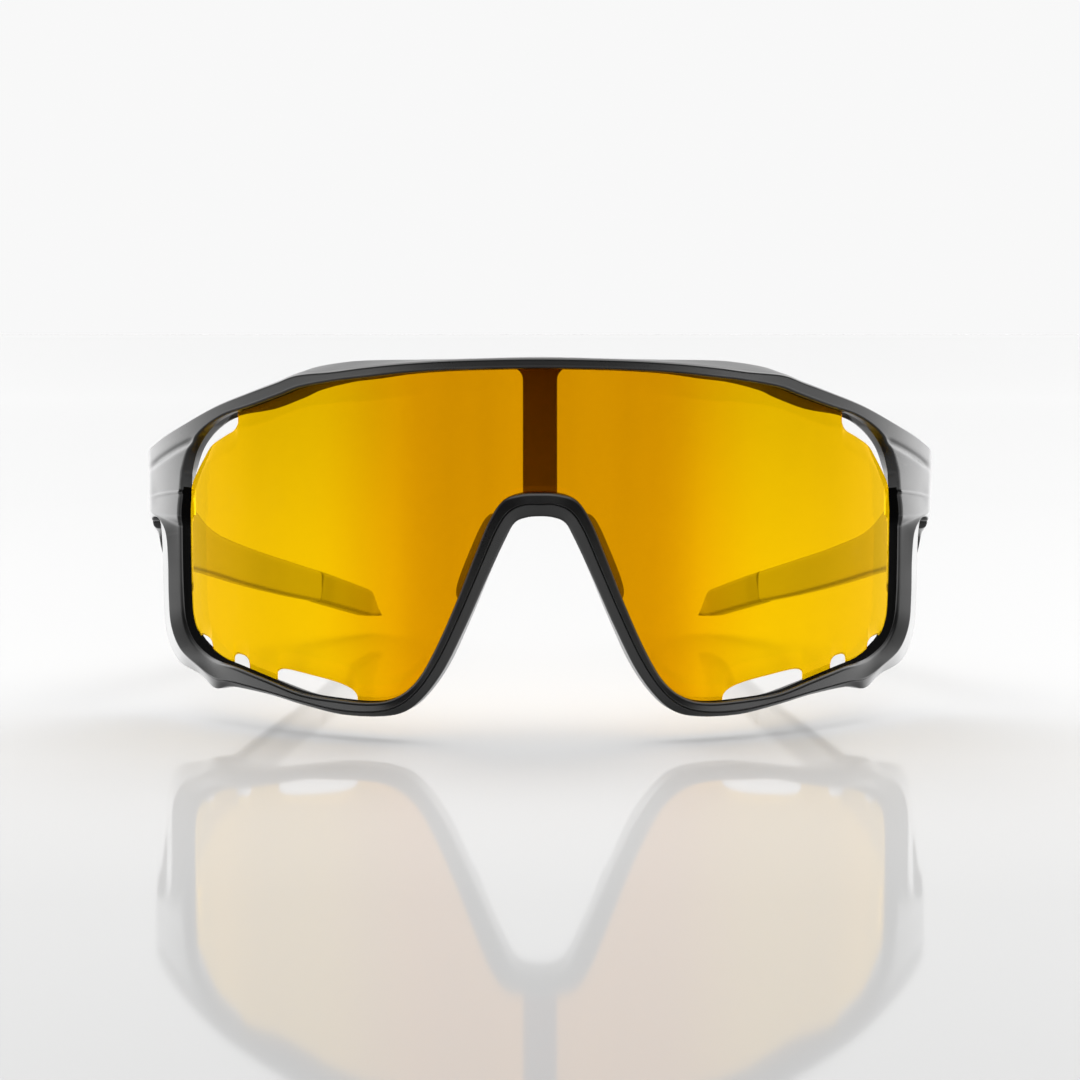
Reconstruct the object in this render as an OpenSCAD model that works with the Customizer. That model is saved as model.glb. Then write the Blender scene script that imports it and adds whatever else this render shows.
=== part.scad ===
// Wraparound glacier glasses with a one-piece shield lens.
// The wearer looks along -Y; left and right are the wearer's, so left is +X.
// Z = 0 is the surface that the lower rims and the temple tips rest on.

/* [Shield] */
// Radius of the rim's front face, seen from above
front_r = 84; // [82:0.5:86]
// Lens thickness
lens_t = 2; // [1.6:0.1:2.0]
// Depth of the lens below the rim's front face
lens_inset = 2; // [1.9:0.1:2.1]
// Depth of the rim from front to back
rim_depth = 7.5; // [7:0.1:8]
// Thickness of the end pieces at the hinges
end_t = 4.6; // [4.2:0.1:5]

/* [Hinges] */
// Radius of the knuckles
knuckle_r = 2; // [1.8:0.05:2.05]
// Radius of the screw's shank
screw_r = 0.8; // [0.7:0.05:0.9]
// Height of the three knuckles together
hinge_h = 12; // [10:0.5:12]

/* [Temples] */
// Thickness of the temple arm at the hinge
arm_t = 4.4; // [4:0.1:4.6]
// Thickness of the temple arm where the tip starts
arm_end_t = 3.6; // [3.4:0.1:3.8]
// Thickness of the rubber tip
tip_t = 4.2; // [4:0.1:4.6]

/* [Nose pads] */
// Length of a pad along the nose
pad_l = 17; // [16:0.5:20]
// Width of a pad
pad_w = 8.5; // [8:0.5:9]
// Radius of the pad pins
pad_pin_r = 0.5; // [0.4:0.05:0.55]

/* [Hidden] */
$fn = 48;
run_gap = 0.05;   // radial clearance of a pin that turns in a bore
fit_gap = 0.1;    // clearance between pieces that only meet
slip = 0.02;      // clearance of a piece pushed into its pocket
bite = 0.7;       // how far moulded-in pieces reach into each other
front_y = -79.6;  // the rim's front face, which puts the origin under the box's middle

// Plan curve: front_r up to s = turn_s, then turn_r until it runs straight back.
// s is the distance along the rim's front face from the middle of the bridge.
turn_s = 92;
turn_r = 13;
turn_a = turn_s / front_r * 180 / PI;
turn_c = [(front_r - turn_r) * sin(turn_a), front_r - (front_r - turn_r) * cos(turn_a)];
back_s = turn_s + (90 - turn_a) * PI / 180 * turn_r;
butt_y = 53.6;                                  // end pieces and temples meet here
end_s = back_s + butt_y - turn_c[1];
outer_x = turn_c[0] + turn_r;                   // outside of the end pieces

function plan_right(s, r) =
    s <= turn_s ? let (a = s / front_r * 180 / PI)
        [(front_r + r) * sin(a), front_r - (front_r + r) * cos(a)]
    : s <= back_s ? let (a = turn_a + (s - turn_s) / turn_r * 180 / PI)
        turn_c + (turn_r + r) * [sin(a), -cos(a)]
    : [outer_x + r, turn_c[1] + s - back_s];
function on_face(s, z, r) = let (p = plan_right(abs(s), r)) [s < 0 ? -p[0] : p[0], p[1], z];

// Rim, from the middle of the brow round the left side to the middle of the bridge:
// [inner s, inner z, ridge s, ridge z, outer s, outer z, the outer edge's depth behind the front face,
//  depth of the back there, how far outside the inner edge the back wall starts and ends,
//  depth where it ends, brow crest, reach of the lens groove; it closes at the upper corner vent]
D = rim_depth;
E = end_t;
G = 1.1;                      // the groove's reach past the inner edge, where it holds the lens
rim_rows = [
    [ 0.0, 62.3,  0.0, 63.8,   0.0,  64.2, 0.5,   D, -0.4, -0.4,   D, 0.0,    G],
    [14.0, 62.0, 14.0, 63.5,  14.0,  63.9, 0.5,   D, -0.4, -0.4,   D, 0.0,    G],
    [24.0, 61.4, 24.0, 62.9,  24.0,  63.3, 0.5,   D, -0.4, -0.4,   D, 0.4,    G],
    [32.0, 60.5, 32.1, 62.1,  32.2,  62.5, 0.5,   D, -0.5, -0.5,   D, 1.0,    G],
    [38.0, 59.8, 38.4, 61.3,  38.5, 61.75, 0.5,   D, -0.5, -0.5,   D, 0.8,    G],
    [45.2, 58.6, 45.8, 60.6,  46.0, 61.05, 0.5,   D, -0.8, -0.8,   D, 0.3,    G],
    [49.9, 57.1, 50.8, 59.1,  51.1,  59.5, 0.6,   D, -0.9, -0.9,   D, 0.0,    G],
    [57.0, 55.0, 58.0, 57.0,  58.3,  57.4, 0.7,   D, -0.9, -0.9, 7.0, 0.0,    G],
    [64.5, 53.1, 66.6, 54.5,  67.0,  54.9, 0.8, 6.0, -0.4, -0.3, 5.4, 0.0,    G],
    [71.0, 50.2, 77.2, 50.9,  78.0,  51.2, 0.8, 5.8,  0.8,  1.3, 5.4, 0.0, 0.15],
    [75.5, 46.5, 86.4, 47.9,  87.5,  48.3, 0.8, 5.2,  1.5,  2.1, 5.2, 0.0, 0.15],
    [77.8, 42.8, 94.4, 45.1,  95.5,  45.6, 0.7,   E,  2.2,  3.0, 5.0, 0.0, 0.15],
    [78.4, 41.0, 95.0, 43.6, 106.0,  44.8, 0.5,   E,  2.9,  3.8, 5.0, 0.0, 0.15],
    [79.0, 39.0, 95.0, 41.0, end_s,  43.0, 0.4,   E,  3.7,  4.8, 5.0, 0.0,  0.6],
    [79.3, 37.2, 95.0, 38.2, end_s,  38.2, 0.4,   E,  4.1,  5.3, 5.0, 0.0,    G],
    [79.5, 35.6, 95.0, 35.4, end_s,  33.6, 0.4,   E,  4.1,  5.3, 5.0, 0.0,    G],
    [79.6, 34.2, 94.0, 33.8, 107.0,  31.2, 0.5,   E,  4.1,  5.3, 5.0, 0.0,    G],
    [79.6, 32.9, 91.0, 33.2,  97.4,  31.4, 0.8,   E,  4.1,  5.3, 5.0, 0.0,    G],
    [79.6, 31.5, 87.0, 32.4,  93.6,  33.2, 1.1, 4.8,  4.1,  5.4, 5.2, 0.0,    G],
    [79.6, 29.6, 84.2, 30.0,  92.2,  31.4, 1.7, 5.4,  4.1,  6.0, 5.7, 0.0,    G],
    [79.6, 25.0, 83.3, 25.0,  92.0,  25.0, 2.0, 6.0,  4.1,  6.2, 6.0, 0.0,    G],
    [79.4, 19.0, 83.2, 18.4,  91.8,  17.5, 2.0, 6.0,  4.0,  6.1, 6.0, 0.0,    G],
    [78.6, 14.4, 82.4, 12.8,  90.4,  10.4, 2.0, 6.0,  3.5,  5.4, 6.0, 0.0,    G],
    [75.9, 11.2, 78.8,  8.6,  84.4,   5.7, 1.8, 6.0,  2.2,  3.5, 6.0, 0.0,    G],
    [71.0,  9.0, 72.4,  6.0,  74.8,   4.0, 1.5, 6.0,  1.2,  2.0, 6.0, 0.0,    G],
    [66.5,  7.6, 67.2,  4.1,  69.3,   2.0, 1.2, 6.2,  0.8,  1.5, 6.2, 0.0,    G],
    [61.0,  6.7, 62.0,  4.0,  63.6,   2.9, 1.0, 6.2,  0.6,  1.2, 6.2, 0.0,    G],
    [53.5,  5.2, 53.8,  3.2,  54.0,   2.4, 1.0, 6.2,  0.5,  1.1, 6.2, 0.0,    G],
    [45.5,  3.4, 45.5,  2.0,  45.5,   1.1, 1.0, 6.5,  0.4,  0.9, 6.5, 0.0,    G],
    [38.0,  2.8, 37.7,  1.0,  37.5,   0.0, 1.0, 6.5,  0.4,  0.8, 6.5, 0.0,    G],
    [31.0,  2.7, 31.0,  1.0,  31.0,   0.0, 1.0, 6.5,  0.3,  0.7, 6.5, 0.0,    G],
    [26.5,  3.7, 26.0,  2.2,  25.5,   0.9, 1.0, 6.5,  0.2,  0.5, 6.5, 0.0,    G],
    [22.5,  6.8, 21.9,  5.4,  21.5,   3.6, 1.1, 6.5,  0.1,  0.2, 6.5, 0.0,    G],
    [19.0, 12.6, 18.1, 11.0,  17.3,   9.0, 1.3, 7.0,  0.0,  0.0, 7.0, 0.0,    G],
    [15.4, 20.4, 14.3, 18.9,  13.2,  17.0, 1.4, 7.0,  0.0,  0.0, 7.0, 0.0,    G],
    [12.0, 28.8, 10.7, 27.2,   9.3,  25.6, 1.4, 7.0,  0.0,  0.0, 7.0, 0.0,    G],
    [ 9.2, 35.4,  7.8, 33.9,   6.0,  32.6, 1.4, 7.0,  0.0,  0.0, 7.0, 0.0,    G],
    [ 6.6, 39.2,  5.6, 37.2,   4.4,  35.3, 1.4, 7.0,  0.0,  0.0, 7.0, 0.0,    G],
    [ 3.4, 40.4,  2.9, 38.5,   2.3,  36.2, 1.4, 7.0,  0.0,  0.0, 7.0, 0.0,    G],
    [ 0.0, 40.6,  0.0, 38.6,   0.0,  36.4, 1.4, 7.0,  0.0,  0.0, 7.0, 0.0,    G]
];
rim_half = len(rim_rows);
mirror_row = [-1, 1, -1, 1, -1, 1, 1, 1, 1, 1, 1, 1, 1];
function scaled(row, k) = [for (i = [0:len(row) - 1]) row[i] * k[i]];
rim_loop = concat(rim_rows,
    [for (i = [rim_half - 2:-1:1]) scaled(rim_rows[i], mirror_row)]);

// Catmull-Rom curve through the rows of a list
function catmull(p0, p1, p2, p3, t) =
    0.5 * (2 * p1 + (p2 - p0) * t + (2 * p0 - 5 * p1 + 4 * p2 - p3) * t * t
    + (3 * p1 - p0 - 3 * p2 + p3) * t * t * t);
function loop_at(rows, u) = let (n = len(rows), i = floor(u) % n, t = u - floor(u))
    catmull(rows[(i + n - 1) % n], rows[i], rows[(i + 1) % n], rows[(i + 2) % n], t);
function open_at(rows, u) = let (n = len(rows), i = min(floor(u), n - 2), t = u - i)
    catmull(rows[max(i - 1, 0)], rows[i], rows[i + 1], rows[min(i + 2, n - 1)], t);

// A closed skin over rings of points: joined end to end, or capped at both ends
module skin(rings, closed = false) {
    n = len(rings);
    m = len(rings[0]);
    last = closed ? n - 1 : n - 2;
    sides = [for (i = [0:last]) for (j = [0:m - 1])
        let (k = (i + 1) % n, l = (j + 1) % m)
        each [[i * m + j, k * m + j, k * m + l], [i * m + j, k * m + l, i * m + l]]];
    caps = closed ? [] : [[for (j = [0:m - 1]) j], [for (j = [m - 1:-1:0]) (n - 1) * m + j]];
    polyhedron(points = [for (ring = rings) each ring], faces = concat(sides, caps));
}

// The children at the wearer's left for side 1, and mirrored for side -1
module on_side(side) {
    mirror([side < 0 ? 1 : 0, 0, 0]) children();
}
module placed() {
    translate([0, front_y, 0]) children();
}

/* ---- front ---- */
steps = 3;                    // rings for each row of the table
lens_back = lens_inset + lens_t;

// One cross-section. Each corner is a point between the inner edge, the ridge and the outer edge:
// [share of the way to the ridge, share of the way to the outer edge, distance further out, depth]
function rim_corners(row, width) = let (seat = row[8], rear = row[9], back = row[10],
    wall = max(row[12], seat * 0.6)) [
    [0, 0, 0, 0.4], [0, 0, 0.4, 0], [1, 0, 0, 0], [0, 1, 0, row[6]],
    [0, 1, row[11], row[7] - 0.7], [0, 1, -0.6, row[7]],
    [0, 0, min(rear + 0.8, width - 0.75), max(row[7], back)], [0, 0, min(rear + 0.4, width - 0.9), back],
    [0, 0, rear, back - 0.5], [0, 0, max(seat, wall + 0.05), lens_back + 0.2],
    [0, 0, wall, lens_back + 0.15], [0, 0, row[12], lens_inset - fit_gap],
    [0, 0, -lip(seat), lens_inset - fit_gap]
];
// How far the wall in front of the lens leans over it
function lip(seat) = max(seat, 0) * 0.37;
function unit(v) = v / norm(v);
function rim_ring(row) = let (inner = [row[0], row[1]], ridge = [row[2], row[3]], outer = [row[4], row[5]],
    out = unit(ridge - inner), far = unit(outer - inner))
    [for (c = rim_corners(row, norm(outer - inner)))
        let (p = inner + c[0] * (ridge - inner) + c[1] * (outer - inner) + c[2] * (c[1] > 0 ? far : out))
        on_face(max(min(p[0], end_s), -end_s), max(p[1], 0), -c[3])];

module front_frame() {
    color("dimgray") placed()
        skin([for (u = [len(rim_loop) - 1 / steps:-1 / steps:0]) rim_ring(loop_at(rim_loop, u))], true);
}

/* ---- lens ---- */
edge_in = G - 0.2;       // how far the lens reaches past the rim's inner edge
function lens_edge(u) = let (row = loop_at(rim_loop, u), inner = [row[0], row[1]])
    inner + edge_in * unit([row[2], row[3]] - inner);
side_row = 20;                // the row where the lens is widest
half_top = [for (u = [0:0.25:side_row]) lens_edge(u)];
half_low = [for (u = [rim_half - 1:-0.25:side_row]) lens_edge(u)];
lens_s = lens_edge(side_row)[0];

// Upper corner vent: the lens stops at this line past corner_s
corner_s = 62.3;
corner_cut = [[62.3, 52.1], [63.5, 50.5], [66.8, 49.1], [70.5, 47.4], [72.9, 45.2],
    [75.5, 42.5], [77.5, 40.2], [78.4, 38.6], [lens_s + 1, 37.6]];
// Lower edge vents: [from s, to s, height at the middle, slope, bluntness of the inner and the outer end]
vents = [[34.5, 52.7, 6.4, 0.14, 3, 8], [59.7, 64.5, 8.9, 0.1, 3, 3], [70.8, 75.8, 11.4, 0.15, 3, 3]];

function vent_top(v, s) = let (m = (v[0] + v[1]) / 2, u = min(abs(s - m) / (v[1] - v[0]) * 2, 1),
    blunt = s < m ? v[4] : v[5])
    s < v[0] || s > v[1] ? 0
    : v[2] + v[3] * (s - m) - 2.6 * (1 - pow(1 - pow(u, blunt), 1 / blunt));
// Heights of the lens at the column s, for a point whose own distance along the front is at
function lens_top(s, at) = let (z = lookup(at, half_top)) s > corner_s ? min(z, lookup(s, corner_cut)) : z;
function lens_low(s, at) = max(concat([lookup(at, half_low)], [for (v = vents) vent_top(v, s)]));
// Where the column s meets the back face: the vents are cut straight back, so X stays the same;
// past the last vent the column turns square to the lens again
vents_end = vents[2][1];
function straight_back(s) = front_r * PI / 180
    * asin((front_r - lens_inset) / (front_r - lens_back) * sin(s / front_r * 180 / PI));
function behind(s) = s <= vents_end ? straight_back(s)
    : lookup(s, [[vents_end, straight_back(vents_end)], [lens_s, lens_s]]);

// Columns of the lens, closer together over the vents' round ends
lens_breaks = [0, 3, 10, 34.5, 37.3, 49.9, 52.7, 59.7, 62.3, 64.5, 70.8, 75.8, lens_s];
lens_cuts   = [  2,  7,   10,    4,    3,    5,    3,    4,    3,    3,    6,    6];
seam = 0.02;                  // half the width of a vent's upright edge
function spread(a, b, n) = [for (k = [0:n]) a + (b - a) * k / n];
lens_columns = [for (i = [0:len(lens_cuts) - 1])
    each spread(lens_breaks[i] + seam, lens_breaks[i + 1] - seam, lens_cuts[i])];
all_columns = concat([for (i = [len(lens_columns) - 1:-1:0]) -lens_columns[i]], lens_columns);

module lens() {
    color("orange") placed() skin([for (s = all_columns) let (a = abs(s), b = behind(a), g = sign(s))
        [on_face(s, lens_top(a, a), -lens_inset), on_face(s, lens_low(a, a), -lens_inset),
         on_face(g * b, lens_low(a, b), -lens_back), on_face(g * b, lens_top(a, b), -lens_back)]]);
}

/* ---- bridge ---- */
// A slab between two depths behind the rim's front face, cut to an outline in X and Z
module slab(depth_a, depth_b) {
    intersection() {
        translate([0, front_r, 0]) difference() {
            cylinder(r = front_r - depth_a, h = 80, $fn = 200);
            translate([0, 0, -1]) cylinder(r = front_r - depth_b, h = 82, $fn = 200);
        }
        rotate([90, 0, 0]) mirror([0, 0, 1]) linear_extrude(front_r / 2) children();
    }
}

strut_w = 6.1;
module centre_strut() {
    color("dimgray") placed() slab(lens_back + 0.3, D - 0.4) difference() {
        polygon([[-6, 63], [6, 63], [6, 60], [4, 40.1], [-4, 40.1], [-6, 60]]);
        for (side = [-1, 1]) translate([side * (strut_w / 2 + 5), 50.3])
            offset(r = 2) square([6, 20], center = true);
    }
}

bridge_front = 6.8;
bridge_back = 10;
arch_out = [[0, 39.8], [3.4, 39.2], [6.2, 37.4], [8.6, 34], [14.6, 19.6], [14.2, 18]];
arch_in = [[11.6, 19.4], [9.2, 25.4], [5.7, 33], [4.2, 35.3], [2.3, 36.3], [0, 36.6]];
arch_half = concat(arch_out, arch_in);
arch_mirror = [for (i = [len(arch_half) - 2:-1:1]) [-arch_half[i][0], arch_half[i][1]]];

// Pad pivot: a line up each side of the nose, behind the bridge
pad_y = 10.6;
pad_low = [11.9, pad_y, 22.5];
pad_lean = 22.5;              // its lean towards the middle, in degrees
pad_axis = [-sin(pad_lean), 0, cos(pad_lean)];
eye_r = 1.25;
eye_h = 2.4;
barrel_h = 7;
// Moves children from the pivot's own frame, z along the pin, to the nose
module at_pivot() {
    translate(pad_low) rotate([0, -pad_lean, 0]) children();
}
pin_l = 2 * eye_h + barrel_h + 2 * fit_gap;

module nose_bridge() {
    color("gray") placed() difference() {
        union() {
            slab(bridge_front, bridge_back) polygon(concat(arch_half, arch_mirror));
            for (side = [-1, 1], z = [0, pin_l - eye_h]) on_side(side) at_pivot() translate([0, 0, z]) {
                cylinder(r = eye_r, h = eye_h);
                translate([-eye_r, -3, 0]) cube([2 * eye_r, 3, eye_h]);
            }
        }
        for (side = [-1, 1]) on_side(side) at_pivot() {
            translate([0, 0, -1]) cylinder(r = pad_pin_r + run_gap, h = pin_l + 2);
            translate([-2, -eye_r - 0.5, eye_h]) cube([4, 4, pin_l - 2 * eye_h]);
        }
    }
}

module pad_pin(side) {
    color("silver") placed() on_side(side) at_pivot() cylinder(r = pad_pin_r, h = pin_l);
}

// The pad's blade runs back and outwards from the pivot at this angle
splay = 14;
blade_y = 1.6;                // where the blade starts, behind the pivot
module pad_core(side) {
    color("gray") placed() on_side(side) at_pivot() difference() {
        union() {
            translate([0, 0, eye_h + fit_gap]) cylinder(r = eye_r, h = barrel_h);
            rotate([0, 0, -splay]) translate([-0.5, 0.9, eye_h + fit_gap]) cube([1, 5.5, barrel_h]);
        }
        cylinder(r = pad_pin_r + run_gap, h = pin_l);
    }
}

module pad_outline() {
    offset(r = 2.8) offset(delta = -2.8) translate([blade_y, 0]) square([pad_w, pad_l]);
}
pad_t = 2.2;
module nose_pad(side) {
    color("black") placed() on_side(side) at_pivot() rotate([0, 0, -splay])
        difference() {
            translate([-pad_t / 2, 0, (pin_l - pad_l) / 2 - 1]) rotate([90, 0, 90])
                linear_extrude(pad_t) pad_outline();
            translate([-0.5, 0, eye_h]) cube([1, 6.4, barrel_h + 2 * fit_gap]);
        }
}

/* ---- hinges ---- */
hinge_p = [outer_x - end_t - knuckle_r - 0.4, butt_y];
hinge_z = 32.4;
knuckle_h = (hinge_h - 2 * fit_gap) / 3;
head_r = 1.5;
head_h = 0.9;
nut_r = 1.5;
nut_h = 1.2;
module at_hinge(z = 0) {
    translate([hinge_p[0], hinge_p[1], hinge_z + z]) children();
}
middle_z = knuckle_h + fit_gap;
upper_z = 2 * (knuckle_h + fit_gap);

module frame_hinge(side) {
    color("silver") placed() on_side(side) difference() {
        union() {
            for (z = [0, upper_z]) at_hinge(z) {
                cylinder(r = knuckle_r, h = knuckle_h);
                translate([0, -3.4, 0]) cube([knuckle_r + 0.6, 3.4, knuckle_h]);
            }
            at_hinge() translate([0.2, -6.4, 0]) cube([knuckle_r + 0.8, 3.6, hinge_h]);
        }
        at_hinge(-1) cylinder(r = screw_r + run_gap, h = hinge_h + 2);
    }
}

module temple_hinge(side) {
    color("silver") placed() on_side(side) difference() {
        union() {
            at_hinge(middle_z) {
                cylinder(r = knuckle_r, h = knuckle_h);
                translate([0.3, 0.2, 0]) cube([knuckle_r - 0.2, 3, knuckle_h]);
            }
            at_hinge() translate([0.3, knuckle_r + 0.5, 0]) cube([knuckle_r + bite, 9, hinge_h - 2.4]);
        }
        at_hinge(-1) cylinder(r = screw_r + run_gap, h = hinge_h + 2);
    }
}

module hinge_screw(side) {
    color("silver") placed() on_side(side) difference() {
        at_hinge(-nut_h) {
            cylinder(r = screw_r, h = hinge_h + nut_h);
            translate([0, 0, hinge_h + nut_h]) cylinder(r = head_r, h = head_h);
        }
        at_hinge(hinge_h + head_h - 0.5) translate([-2, -0.2, 0]) cube([4, 0.4, 1]);
    }
}

module hinge_nut(side) {
    color("silver") placed() on_side(side) at_hinge(-nut_h) difference() {
        cylinder(r = nut_r, h = nut_h - fit_gap, $fn = 6);
        translate([0, 0, -1]) cylinder(r = screw_r, h = nut_h + 2);
    }
}

/* ---- temples ---- */
// [y, outer x, upper z, lower z, thickness]
arm_rows = [
    [butt_y + 0.15, outer_x, 45.4, 29.8, arm_t],
    [ 60.0, outer_x, 43.4, 27.4, arm_t],
    [ 64.5, 75.7, 40.4, 22.6, 4.3],
    [ 72.0, 74.6, 34.0, 20.2, 4.2],
    [ 84.0, 71.4, 27.0, 17.6, 4.0],
    [100.0, 65.9, 22.0, 13.6, 3.8],
    [118.0, 58.2, 17.0,  9.2, 3.6],
    [131.0, 52.7, 13.5,  6.4, arm_end_t],
    [134.0, 51.4, 12.7,  5.7, arm_end_t]
];
arm_last = len(arm_rows) - 1;
end_at = arm_last - 1;        // the row where the tip starts
round_e = 1.0;                // radius of the arm's edges

// The arm's direction in plan at row u; it starts straight back
function heading(u) = let (a = open_at(arm_rows, max(u - 0.02, 0)),
    b = open_at(arm_rows, min(u + 0.02, arm_last)))
    u == 0 ? [0, 1] : unit([b[1] - a[1], b[0] - a[0]]);
// A point of the arm's cross-section, from its outer surface at row u
function on_arm(u, inwards, z) = let (row = open_at(arm_rows, u), d = heading(u))
    [row[1] - d[1] * inwards, row[0] + d[0] * inwards, z];
function arm_ring(u) = let (row = open_at(arm_rows, u), t = row[4], h = (row[2] - row[3]) / 2)
    [for (p = [[0, -h * 0.55], [0, h * 0.55], [0.35, h - round_e], [round_e + 0.2, h], [t - round_e, h],
        [t, h - round_e], [t, round_e - h], [t - round_e, -h], [round_e + 0.2, -h], [0.35, round_e - h]])
        on_arm(u, p[0], row[3] + h + p[1])];

module temple_arm(side) {
    color("dimgray") placed() on_side(side) difference() {
        skin([for (u = [arm_last:-0.25:0]) arm_ring(u)]);
        at_tip() {
            core_strip(slip);
            translate([0, -10, -10]) cube([10, 20, 20]);
        }
    }
}

// The tip's own frame: origin at the middle of the arm's end, X back along the arm
end_row = arm_rows[end_at];
end_step = arm_rows[end_at] - arm_rows[end_at - 1];
tip_heading = atan2(-end_step[1], end_step[0]);
tip_drop = 14.5;
tip_o = [end_row[1] - arm_end_t / 2 * cos(tip_heading), end_row[0] - arm_end_t / 2 * sin(tip_heading),
    (end_row[2] + end_row[3]) / 2];
module at_tip() {
    translate(tip_o) rotate([0, 0, 90 + tip_heading]) rotate([0, tip_drop, 0]) children();
}
core_t = 1.2;
core_h = 3;
core_in = 12;                 // length held in the arm
core_out = 22;                // length held in the tip
// The core's room, wider all round by gap
module core_strip(gap = 0) {
    translate([-core_in, -core_t / 2, -core_h / 2] - [1, 1, 1] * gap)
        cube([core_in + core_out, core_t, core_h] + [2, 2, 2] * gap);
}
module temple_core(side) {
    color("silver") placed() on_side(side) at_tip() core_strip();
}

tip_l = 32;
// Side outline of the tip, in its own frame
tip_outline = [[slip, -3.55], [25.5, -3.1], [tip_l, -2.2], [tip_l - 1.2, -0.6],
    [27, 2.6], [25, 3.1], [slip, 3.5]];
module temple_tip(side) {
    color("black") placed() on_side(side) difference() {
        at_tip() difference() {
            translate([0, tip_t / 2, 0]) rotate([90, 0, 0]) linear_extrude(tip_t) polygon(tip_outline);
            core_strip(slip);
        }
        // the tip's foot is cut level with the lower rims
        translate([0, 120, -10]) cube([80, 60, 10]);
    }
}

front_frame();
lens();
centre_strut();
nose_bridge();
frame_hinge(1);  // left_frame_hinge
frame_hinge(-1);  // right_frame_hinge
temple_hinge(1);  // left_temple_hinge
temple_hinge(-1);  // right_temple_hinge
hinge_screw(1);  // left_hinge_screw
hinge_screw(-1);  // right_hinge_screw
hinge_nut(1);  // left_hinge_nut
hinge_nut(-1);  // right_hinge_nut
temple_arm(1);  // left_temple_arm
temple_arm(-1);  // right_temple_arm
temple_core(1);  // left_temple_core
temple_core(-1);  // right_temple_core
temple_tip(1);  // left_temple_tip
temple_tip(-1);  // right_temple_tip
pad_pin(1);  // left_pad_pin
pad_pin(-1);  // right_pad_pin
pad_core(1);  // left_pad_core
pad_core(-1);  // right_pad_core
nose_pad(1);  // left_nose_pad
nose_pad(-1);  // right_nose_pad
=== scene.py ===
"""Glacier glasses: the looks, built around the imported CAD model.

Shapes are worked out in millimetres in the design's own frame, where y = 0 is the front of the rim,
and mesh_piece() moves them into the row's frame in metres.
"""
import math

import bpy
import bmesh
import numpy as np
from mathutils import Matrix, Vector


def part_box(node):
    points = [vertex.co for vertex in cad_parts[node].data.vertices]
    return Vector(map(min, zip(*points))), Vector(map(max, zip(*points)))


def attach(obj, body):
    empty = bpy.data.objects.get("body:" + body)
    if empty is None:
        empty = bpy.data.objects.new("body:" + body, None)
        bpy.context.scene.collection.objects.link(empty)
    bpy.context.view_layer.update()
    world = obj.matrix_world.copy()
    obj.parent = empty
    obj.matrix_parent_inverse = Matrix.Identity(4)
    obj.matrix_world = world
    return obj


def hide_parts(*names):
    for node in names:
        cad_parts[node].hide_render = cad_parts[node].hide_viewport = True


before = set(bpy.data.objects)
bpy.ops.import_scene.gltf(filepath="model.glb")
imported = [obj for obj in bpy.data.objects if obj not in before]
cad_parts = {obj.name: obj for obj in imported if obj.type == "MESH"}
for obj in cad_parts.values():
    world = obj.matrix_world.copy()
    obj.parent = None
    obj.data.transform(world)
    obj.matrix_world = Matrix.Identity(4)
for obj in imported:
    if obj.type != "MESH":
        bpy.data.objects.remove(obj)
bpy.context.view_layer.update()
scene = bpy.context.scene
front_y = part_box("front_frame")[0][1] * 1000

# ---------------------------------------------------------------- camera
camera_data = bpy.data.cameras.new("camera")
camera_data.lens = 86.03
camera_data.sensor_width = 36
camera_data.clip_start = 0.01
camera_away = 0.45
camera_height = 0.07364
camera_pitch = 0.091458
camera = bpy.data.objects.new("camera", camera_data)
camera.location = (0, front_y / 1000 - camera_away, camera_height)
camera.rotation_euler = (math.pi / 2 - camera_pitch, 0, 0)
scene.collection.objects.link(camera)
scene.camera = camera
scene.view_settings.view_transform = "Standard"

# ---------------------------------------------------------------- plan curve of the front
front_r = 84.0                # radius of the front
turn_s = 92.0                 # where the tight turn into the end pieces starts
turn_r = 13.0
turn_a = turn_s / front_r
turn_x = (front_r - turn_r) * math.sin(turn_a)
turn_y = front_r - (front_r - turn_r) * math.cos(turn_a)
back_s = turn_s + (math.pi / 2 - turn_a) * turn_r
butt_y = 53.6                 # where the temples meet the end pieces
end_s = back_s + butt_y - turn_y
outer_x = turn_x + turn_r
rim_depth = 7.5
end_t = 4.6                   # thickness of the end pieces
lens_front = 2.0              # depth of the lens's two faces
lens_back = 4.0
groove = 1.1                  # reach of the lens groove into the rim


def on_face(s, z, r):
    """Points at distance s along the front from its middle, height z and distance r outside it."""
    s, z, r = np.broadcast_arrays(np.asarray(s, float), np.asarray(z, float), np.asarray(r, float))
    a = np.abs(s)
    front = np.minimum(a, turn_s) / front_r
    turn = turn_a + (np.clip(a, turn_s, back_s) - turn_s) / turn_r
    curved = a <= turn_s
    x = np.where(curved, (front_r + r) * np.sin(front), turn_x + (turn_r + r) * np.sin(turn))
    y = np.where(curved, front_r - (front_r + r) * np.cos(front), turn_y - (turn_r + r) * np.cos(turn))
    y = y + np.maximum(a - back_s, 0)
    return np.stack([np.where(s < 0, -x, x), y, z], axis=-1)


def catmull(rows, u, closed):
    """The Catmull-Rom curve through rows at the values u, in rows."""
    n = len(rows)
    i = np.floor(u).astype(int)
    if not closed:
        i = np.minimum(i, n - 2)
    t = (u - i)[:, None]

    def at(k):
        return rows[k % n] if closed else rows[np.clip(k, 0, n - 1)]
    a, b, c, d = at(i - 1), at(i), at(i + 1), at(i + 2)
    return 0.5 * (2 * b + (c - a) * t + (2 * a - 5 * b + 4 * c - d) * t**2 + (3 * b - a - 3 * c + d) * t**3)


def smooth(x, low, high):
    """0 below low, 1 above high, and a smooth rise between them."""
    t = np.clip((x - low) / (high - low), 0, 1)
    return t * t * (3 - 2 * t)


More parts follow.
